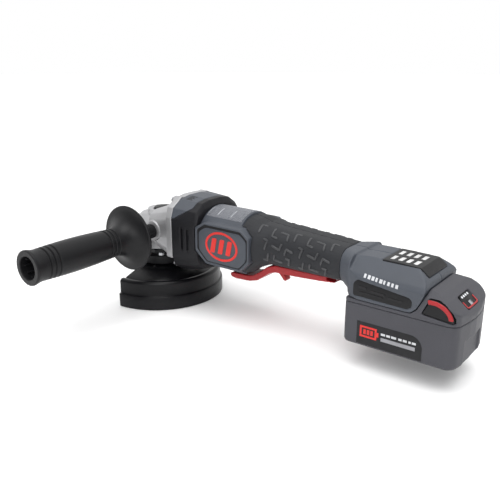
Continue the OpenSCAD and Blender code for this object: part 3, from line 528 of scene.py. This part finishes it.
# plain bars on the arch's left slope, long and short in turn, laid on from above
over = surface_of(arch)
marks = [patch(f"arch_bar_{i}", over,
               lambda u, v: (60 + (8 - 2 * (i % 2)) * u, -10.5 - 2.2 * i - 1.1 * v, 130),
               (0, 0, -1), 0.12) for i in range(5)]
marks = joined("arch_marks", marks)
finish_piece(marks, "black", "body")

# ---- housing ------------------------------------------------------------------------

# One basket of the grip's ribs, as strokes of (distance back, distance up round the grip from the
# middle of its side)
RIB_STROKES = [
    [(0, 13.5), (-1.8, 23.5), (4, 23.5)],
    [(13.4, 23.5), (14.6, 13.5), (20.6, 12.5)],
    [(21.4, 20), (30.4, 18.8), (32.2, 12)],
    [(6.4, 9.4), (11, 8.3), (8.4, -0.5)],
    [(16.4, 4.8), (25.4, 2.6), (27.6, 8.8)],
    [(31.2, -1.5), (33.4, 4.8), (40.6, 2.8)],
    [(6.4, -10), (10.6, -11.3), (13.2, -3.2)],
    [(20.2, -3.2), (19, -8.3), (28.2, -9.8)],
    [(32.5, -4), (37, -4.8), (34.4, -11.8)],
]
BASKETS = (158, 197.4)     # where each basket starts
LAST_RIB = 236.8           # where a basket's first stroke comes once more

BADGE = [(86, 56), (98, 44.5), (141, 44.5), (150.5, 55), (150.5, 76), (142, 83), (96, 83), (86, 76.5)]
BADGE_INSET = [(118.9 + (x - 118.2) * 0.945, 62.6 + (z - 63.4) * 0.912) for x, z in BADGE]
ROUNDEL_X, ROUNDEL_Z = 118.5, 63.8
ROUNDEL_IN, ROUNDEL_OUT = 33.3, 34.0       # the marks' two faces, out from the middle plane
RING_STEPS = 64
RING = ((21, 15.2, ROUNDEL_IN), (20.6, 14.8, ROUNDEL_OUT),
        (18.6, 12.9, ROUNDEL_OUT), (18.2, 12.5, ROUNDEL_IN))

NAMEPLATE = [(268, 50), (318, 49), (322, 52), (322, 57), (319, 59.5), (272, 65), (268, 61)]
NAME_BARS = ((273, 281, 57.5, 2.4), (284, 298, 55.8, 2.2), (273, 296, 53.4, 1.4), (300, 314, 54, 1.8))
MARK_WIDTHS = (2.6, 3.2, 3.2, 2.4, 3.4, 2.2, 2.8, 2.6, 3.0)
MARKS_FROM, MARK_PITCH = 277, 3.7


def roundel_ring(side):
    bm = bmesh.new()
    loops = []
    for a in range(RING_STEPS):
        t = 2 * math.pi * a / RING_STEPS
        loops.append([bm.verts.new(Vector((ROUNDEL_X + rx * math.cos(t), side * w,
                                           ROUNDEL_Z + rz * math.sin(t))) * MM) for rx, rz, w in RING])
    for a in range(RING_STEPS):
        b = (a + 1) % RING_STEPS
        for j in range(4):
            bm.faces.new((loops[a][j], loops[a][(j + 1) % 4], loops[b][(j + 1) % 4], loops[b][j]))
    return from_bmesh("roundel_ring", bm)


for side, name in ((-1, "left"), (1, "right")):
    shell = softened("housing_" + name, "housing_shell_" + name, 0.8, 5)
    finish_piece(shell, "slate", "body", ["housing_" + name], 60)
    tree = surface_of(shell)

    # grip rubber with its basket of raised ribs
    rubber = softened("grip_rubber_" + name, "grip_cover_" + name, 0.7, 6)
    skin = surface_of(rubber)
    ribs = [ridge(f"rib_{x}_{i}", skin, [(x + u, v) for u, v in stroke], side)
            for x in BASKETS for i, stroke in enumerate(RIB_STROKES)]
    ribs += [ridge("rib_end", skin, [(LAST_RIB + u, v) for u, v in RIB_STROKES[0]], side)]
    finish_piece(rubber, "rubber", "body", ["grip_rubber_" + name], 50)
    ribs = joined("grip_ribs_" + name, ribs)
    finish_piece(ribs, "rib", "body", smooth=25)

    # badge plate, with a plain ring and three slanted bars on it
    # a black sheet under the badge's edge: painted shade that darkens the groove round the badge plate
    groove_shade = prism("badge_groove_shade_" + name, rounded_outline(BADGE, 2), 31.2, 32.8, side_place(side))
    finish_piece(groove_shade, "black", "body")
    badge = prism("badge_plate_" + name, rounded_outline(BADGE_INSET, 3), 31.65, 33.5, side_place(side))
    badge = bevel(badge, 0.5, 2, 60)
    finish_piece(badge, "slate", "body", ["badge_" + name])
    ring = [roundel_ring(side)]
    for i in range(3):
        x, low, high = ROUNDEL_X - 10 + 10 * i, ROUNDEL_Z - 7.6, ROUNDEL_Z + 7.6
        bar = [(x - 4.4, low), (x + 1.2, low), (x + 4.4, high), (x - 1.2, high)]
        ring.append(prism(f"roundel_bar_{i}", rounded_outline(bar, 1.2, 3), ROUNDEL_IN, ROUNDEL_OUT,
                          side_place(side)))
    roundel = joined("badge_roundel_" + name, ring)
    finish_piece(roundel, "roundel", "body")

    # nameplate: a recessed black plate with plain raised bars on it
    name_plate = prism("nameplate_" + name + "_moulding", rounded_outline(NAMEPLATE, 2),
                       FOOT_HALF - 1.5, FOOT_HALF - 0.5, side_place(side))
    name_plate = bevel(name_plate, 0.35, 2, 60)
    bars = []
    for i, (x0, x1, z0, h) in enumerate(NAME_BARS):
        bar = [(x0, z0), (x1, z0 - 0.6), (x1, z0 + h - 0.6), (x0, z0 + h)]
        bars.append(prism(f"bar_{i}", rounded_outline(bar, 0.5, 2),
                          FOOT_HALF - 0.6, FOOT_HALF - 0.1, side_place(side)))
    name_plate = joined("nameplate_" + name + "_moulding", [name_plate] + bars)
    finish_piece(name_plate, "black", "body", ["nameplate_" + name])

    # a row of plain pale bars above the nameplate
    marks = []
    for i, w in enumerate(MARK_WIDTHS):
        x = MARKS_FROM + MARK_PITCH * i
        z = 67.8 - 0.09 * (x - MARKS_FROM)
        marks.append(patch(f"mark_{i}", tree,
                           lambda u, v: (x + w * 0.8 * u, side * 80, z + 2.9 * v - 0.07 * w * u),
                           (0, -side, 0), 0.1))
    marks = joined("pod_marks_" + name, marks)
    finish_piece(marks, "mark", "body")

# label wrapped over the barrel's top, with three pale dividers on each side
LABEL_FROM, LABEL_LONG = 87.8, 45.5


def band(low, high, length):
    """The section of a strip that is wrapped round the barrel, as heights above its radius."""
    return [(BARREL_R + low, 0), (BARREL_R + high, 0), (BARREL_R + high, length), (BARREL_R + low, length)]


def round_barrel(x):
    """Turns a lathe's axis to the barrel's, starting at x."""
    return placed(x, 0, AXIS_H) @ turned(90, "Y") @ turned(180, "Z")


label = lathe("barrel_label", band(-0.4, 0.1, LABEL_LONG), 40, -38, 76, to=round_barrel(LABEL_FROM))
finish_piece(label, "print", "body")
divided = [(side, x) for side in (-1, 1) for x in (88.6, 101, 117.8)]
dividers = [lathe(f"divider_{i}", band(-0.2, 0.14, 0.5), 16, side * 22 - 10, 20, to=round_barrel(x))
            for i, (side, x) in enumerate(divided)]
dividers = joined("label_dividers", dividers)
finish_piece(dividers, "mark", "body")

grille = softened("vent_grille", "vent_grille_moulding", 0.5, 2)
finish_piece(grille, "black", "body", ["vent_grille"], 60)
pads = [prism("vent_mesh", box(287, -16, 318, 16), 78.2, 78.9, upright)]
for i in range(4):
    for side in (-1, 1):
        x, y = 290.1 + 7 * i, side * 8
        pads.append(prism(f"mesh_pad_{i}_{side}", box(x, y - 5.4, x + 3.8, y + 5.4),
                          78.8, 81.7 - 0.03 * (x - 290), upright))
pads = joined("vent_mesh", pads)
finish_piece(pads, "mesh", "body", ["vent_screen"])

# ---- paddle ------------------------------------------------------------------------------

paddle = softened("paddle_lever", "paddle_moulding", 0.6, 5)
finish_piece(paddle, "red", "paddle", ["paddle_lever"], 60)
tab = softened("lockoff_tab", "lockoff_tab_moulding", 0.4, 4)
finish_piece(tab, "red", "lockoff", ["lockoff_tab"], 60)

# ---- battery -------------------------------------------------------------------------------

lower = softened("battery_lower_case", "pack_lower_case", 0.8, 4)
finish_piece(lower, "pack", "battery", ["battery_lower_case"], 60)
upper = softened("battery_upper_case", "pack_upper_case", 0.7, 4)
finish_piece(upper, "pack", "battery", ["battery_upper_case"], 60)

LABEL_OUT = FOOT_HALF + 0.12       # the pack label's face, out from the middle plane
INK_OUT = LABEL_OUT + 0.05         # the face of the marks on it
PACK_LABEL = [(274, 7), (334, 7), (334, 17)] + arc(323, 17, 11, 11, 0, 90, 10) + [(274, 28)]
# A battery pictogram: its frame's bottom, top, front and back, its tip and three charge bars
PICTOGRAM = (
    (277, 14, 293, 15.8), (277, 22.7, 293, 24.5), (277, 15.8, 278.8, 22.7), (291.2, 15.8, 293, 22.7),
    (293, 17.2, 294.8, 21.3), (280.4, 17, 282.8, 21.5), (283.8, 17, 286.2, 21.5), (287.2, 17, 289.6, 21.5),
)
PACK_BARS = ((297, 301), (302, 305.5), (306.5, 311), (313, 316), (317, 320.5), (322, 324), (325, 328.5))

for side, name in ((-1, "left"), (1, "right")):
    place = side_place(side)
    label = prism("pack_label_" + name, PACK_LABEL, LABEL_OUT - 0.4, LABEL_OUT, place)
    finish_piece(label, "black", "battery")
    icon = [prism(f"icon_{i}", box(*corners), LABEL_OUT - 0.2, INK_OUT, place)
            for i, corners in enumerate(PICTOGRAM)]
    icon = joined("pack_icon_" + name, icon)
    finish_piece(icon, "roundel", "battery")
    bars = [prism(f"white_{i}", box(x0, 20, x1, 22), LABEL_OUT - 0.2, INK_OUT, place)
            for i, (x0, x1) in enumerate(PACK_BARS)]
    bars = joined("pack_bars_" + name, bars)
    finish_piece(bars, "mark", "battery")
    stripe = prism("pack_band_" + name, box(297, 14.5, 328, 17.8), LABEL_OUT - 0.2, INK_OUT, place)
    finish_piece(stripe, "grey", "battery")

    # release button: black face under a red arc
    body = "release_" + name
    face = ([(331, 48.8), (336, 59.6)] + arc(339, 46.5, 18.6, 15.6, 100, 4, 14) + [(357.4, 46.3)])
    cap = prism("release_cap_" + name, rounded_outline(face, 1, 2), 31.6, FOOT_HALF - 0.9, place)
    cap = bevel(cap, 0.9, 3, 50)
    post = prism("post", box(340, 51, 348.5, 57), 30, 31.8, place)
    cap = joined("release_cap_" + name, [cap, post])
    finish_piece(cap, "black", body, ["release_button_" + name])
    outer = arc(339, 46.5, 18.4, 15.4, 104, 8, 18)
    inner = arc(339, 46.5, 14.4, 11.6, 8, 104, 18)
    crest = prism("release_arc_" + name, outer + inner, FOOT_HALF - 2, FOOT_HALF - 0.25, place)
    crest = bevel(crest, 0.8, 3, 50)
    finish_piece(crest, "red", body)

# gauge panel on the tower's slope
PANEL_TILT = 38.8      # degrees
to_panel = placed(355.8, 0, 56.4) @ turned(PANEL_TILT, "Y")
PANEL = [(-6.4, -8), (-2, -11.9), (5, -11.9), (6.4, -9), (6.4, 9), (5, 11.9), (-2, 11.9), (-6.4, 8)]
ACCENT = [(-1, -11.6), (5, -11.6), (6.2, -9), (6.2, 9), (5, 11.6), (-1, 11.6),
          (-1, 10.2), (4.4, 10.2), (4.9, 9), (4.9, -9), (4.4, -10.2), (-1, -10.2)]


def on_panel(u, v, w):
    p = to_panel @ (Vector((u, v, w)) * MM)
    return p.x / MM, p.y / MM, p.z / MM


panel = prism("gauge_plate", rounded_outline(PANEL, 1.2), -1.2, -0.3, on_panel)
panel = bevel(panel, 0.25, 2, 60)
bezel = prism("gauge_square", rounded_outline(box(-1, -3.4, 5.4, 3.4), 0.8), -0.5, 0, on_panel)
panel = joined("gauge_plate", [panel, bevel(bezel, 0.25, 2, 60)])
finish_piece(panel, "black", "battery", ["gauge_panel"])
lamps = [prism(f"lamp_{i}", rounded_outline(box(-5.4, y - 1, -3.4, y + 1), 0.5, 2), -0.6, -0.05, on_panel)
         for i, y in enumerate((-6, -2, 2, 6))]
lamps = joined("gauge_lamps", lamps)
finish_piece(lamps, "led", "battery")
accent = prism("gauge_accent", rounded_outline(ACCENT, 0.5, 2), -0.5, 0.05, on_panel)
finish_piece(accent, "red", "battery")

# ---- springs ------------------------------------------------------------------------------------


COIL_STEPS, WIRE_STEPS = 24, 8     # sections to a turn, and corners to a section


def spring(name, at, out, radius, wire, length, turns, body, nodes=()):
    """A wire of radius `wire` wound from `at` along `out`, in mm.
    """
    at, out = Vector(at), Vector(out)
    across, up = Vector((1, 0, 0)), out.cross(Vector((1, 0, 0)))
    pitch = (length - 2 * wire) / turns
    bm = bmesh.new()
    rings = []
    for i in range(COIL_STEPS * turns + 1):
        a = math.radians(360 / COIL_STEPS * i)
        radial = across * math.cos(a) + up * math.sin(a)
        middle = at + out * (wire + pitch * i / COIL_STEPS) + radial * radius
        corners = [math.radians(360 / WIRE_STEPS * j) for j in range(WIRE_STEPS)]
        rings.append([bm.verts.new((middle + (radial * math.cos(t) + out * math.sin(t)) * wire) * MM)
                      for t in corners])
    close_tube(bm, rings)
    o = finish_piece(from_bmesh(name, bm), "steel", body, nodes, 60)
    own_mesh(o)


spring("lock_coil", (20, 0, 71.7), (0, 0, 1), 4, 0.3, 6.5, 4, "body",
       nodes=["lock_spring"])
spring("paddle_coil", (214, 0, 46.1), (0, 0, 1), 3, 0.5, 11.8, 5, "body",
       nodes=["paddle_spring"])
spring("release_coil_left", (344.5, -19, 54), (0, -1, 0), 3, 0.5, 10.8, 5, "battery",
       nodes=["release_springs"])
spring("release_coil_right", (344.5, 19, 54), (0, 1, 0), 3, 0.5, 10.8, 5, "battery")

# ---- finishes of the CAD nodes that stay ------------------------------------------------------

KEPT = {
    "steel": ["gear_case_screws", "bearing_plate_screws", "spindle_bearing_lower",
              "spindle_bearing_upper", "spindle", "bevel_gear", "inner_flange", "lock_pin",
              "side_handle_stud", "guard_clamp_screw", "stator", "rotor_shaft", "rotor_core",
              "pinion", "motor_bearing_front", "motor_bearing_rear", "housing_screws",
              "paddle_pin", "lockoff_pin"],
    "paint": ["guard_clamp_band"],
    "black": ["fan", "trigger_switch", "terminal_block"],
    "copper": ["stator_coils", "battery_terminals"],
    "red": ["switch_plunger", "motor_leads"],
    "grey": ["gauge_button"],
    "board": ["controller_board", "battery_board"],
    "sleeve": ["battery_cells"],
}
for key, names in KEPT.items():
    for n in names:
        NODES[n].data.materials.clear()
        NODES[n].data.materials.append(M[key])

# ---- floor, light and camera -------------------------------------------------------------------

bm = bmesh.new()
bmesh.ops.create_grid(bm, x_segments=8, y_segments=8, size=30)
floor = from_bmesh("floor", bm)
floor.location = (0.2, 0, -0.0176)
floor.data.materials.append(material("floor_paper", (0.93, 0.93, 0.93), 0.8, 0.0, (60, 0.05), 0.01))

# A white backdrop dome that the camera sees, and that leaves the room's light as it is
DOME_R = 6             # m
bm = bmesh.new()
bmesh.ops.create_uvsphere(bm, u_segments=48, v_segments=24, radius=DOME_R)
dome = from_bmesh("backdrop", bm)
paper = bpy.data.materials.new("backdrop_paper")
paper.use_nodes = True
glow = paper.node_tree.nodes.new("ShaderNodeEmission")
glow.inputs["Strength"].default_value = 1.0
paper.node_tree.links.new(glow.outputs[0], paper.node_tree.nodes["Material Output"].inputs["Surface"])
dome.data.materials.append(paper)
dome.visible_diffuse = dome.visible_glossy = dome.visible_shadow = False
dome.visible_transmission = False

# The room is bright overhead and behind the tool, and dimmer on the camera's side
world = bpy.data.worlds.new("studio")
scene.world = world
world.use_nodes = True
sky = world.node_tree
where = sky.nodes.new("ShaderNodeTexCoord").outputs["Generated"]
facing = sky.nodes.new("ShaderNodeVectorMath")
facing.operation = "DOT_PRODUCT"
facing.inputs[1].default_value = (-0.5, 0.65, 0.57)    # towards the bright side
sky.links.new(where, facing.inputs[0])
background = sky.nodes["Background"]
background.inputs["Color"].default_value = (1, 1, 1, 1)
sky.links.new(remapped(sky, facing.outputs["Value"], -0.1, 0.5, 0.28, 1.05), background.inputs["Strength"])


def lamp(name, kind, at, target, power, size):
    """A lamp at one point aimed at another; size is a sun's angle in degrees, or an area's side in m."""
    light = bpy.data.lights.new(name, kind)
    light.energy = power
    if kind == "SUN":
        light.angle = math.radians(size)
    else:
        light.size = size
    o = bpy.data.objects.new(name, light)
    scene.collection.objects.link(o)
    o.location = at
    o.rotation_euler = (Vector(target) - Vector(at)).to_track_quat("-Z", "Y").to_euler()


lamp("overhead", "SUN", (0.35, -0.3, 1.6), (0.2, 0, 0), 2.0, 55)
lamp("front", "AREA", (0.75, -1.0, 0.7), (0.2, 0, 0.05), 7, 0.8)

CAMERA_AT = (0.51087, -0.49441, 0.25512)
AZIMUTH, ELEVATION = math.radians(37.69), math.radians(17.82)
forward = Vector((-math.sin(AZIMUTH) * math.cos(ELEVATION),
                  math.cos(AZIMUTH) * math.cos(ELEVATION),
                  -math.sin(ELEVATION)))
cam = bpy.data.cameras.new("camera")
cam.lens = 45.88
cam.sensor_width = 36
cam_obj = bpy.data.objects.new("camera", cam)
scene.collection.objects.link(cam_obj)
cam_obj.location = CAMERA_AT
cam_obj.rotation_euler = forward.to_track_quat("-Z", "Y").to_euler()
scene.camera = cam_obj
scene.view_settings.view_transform = "Standard"
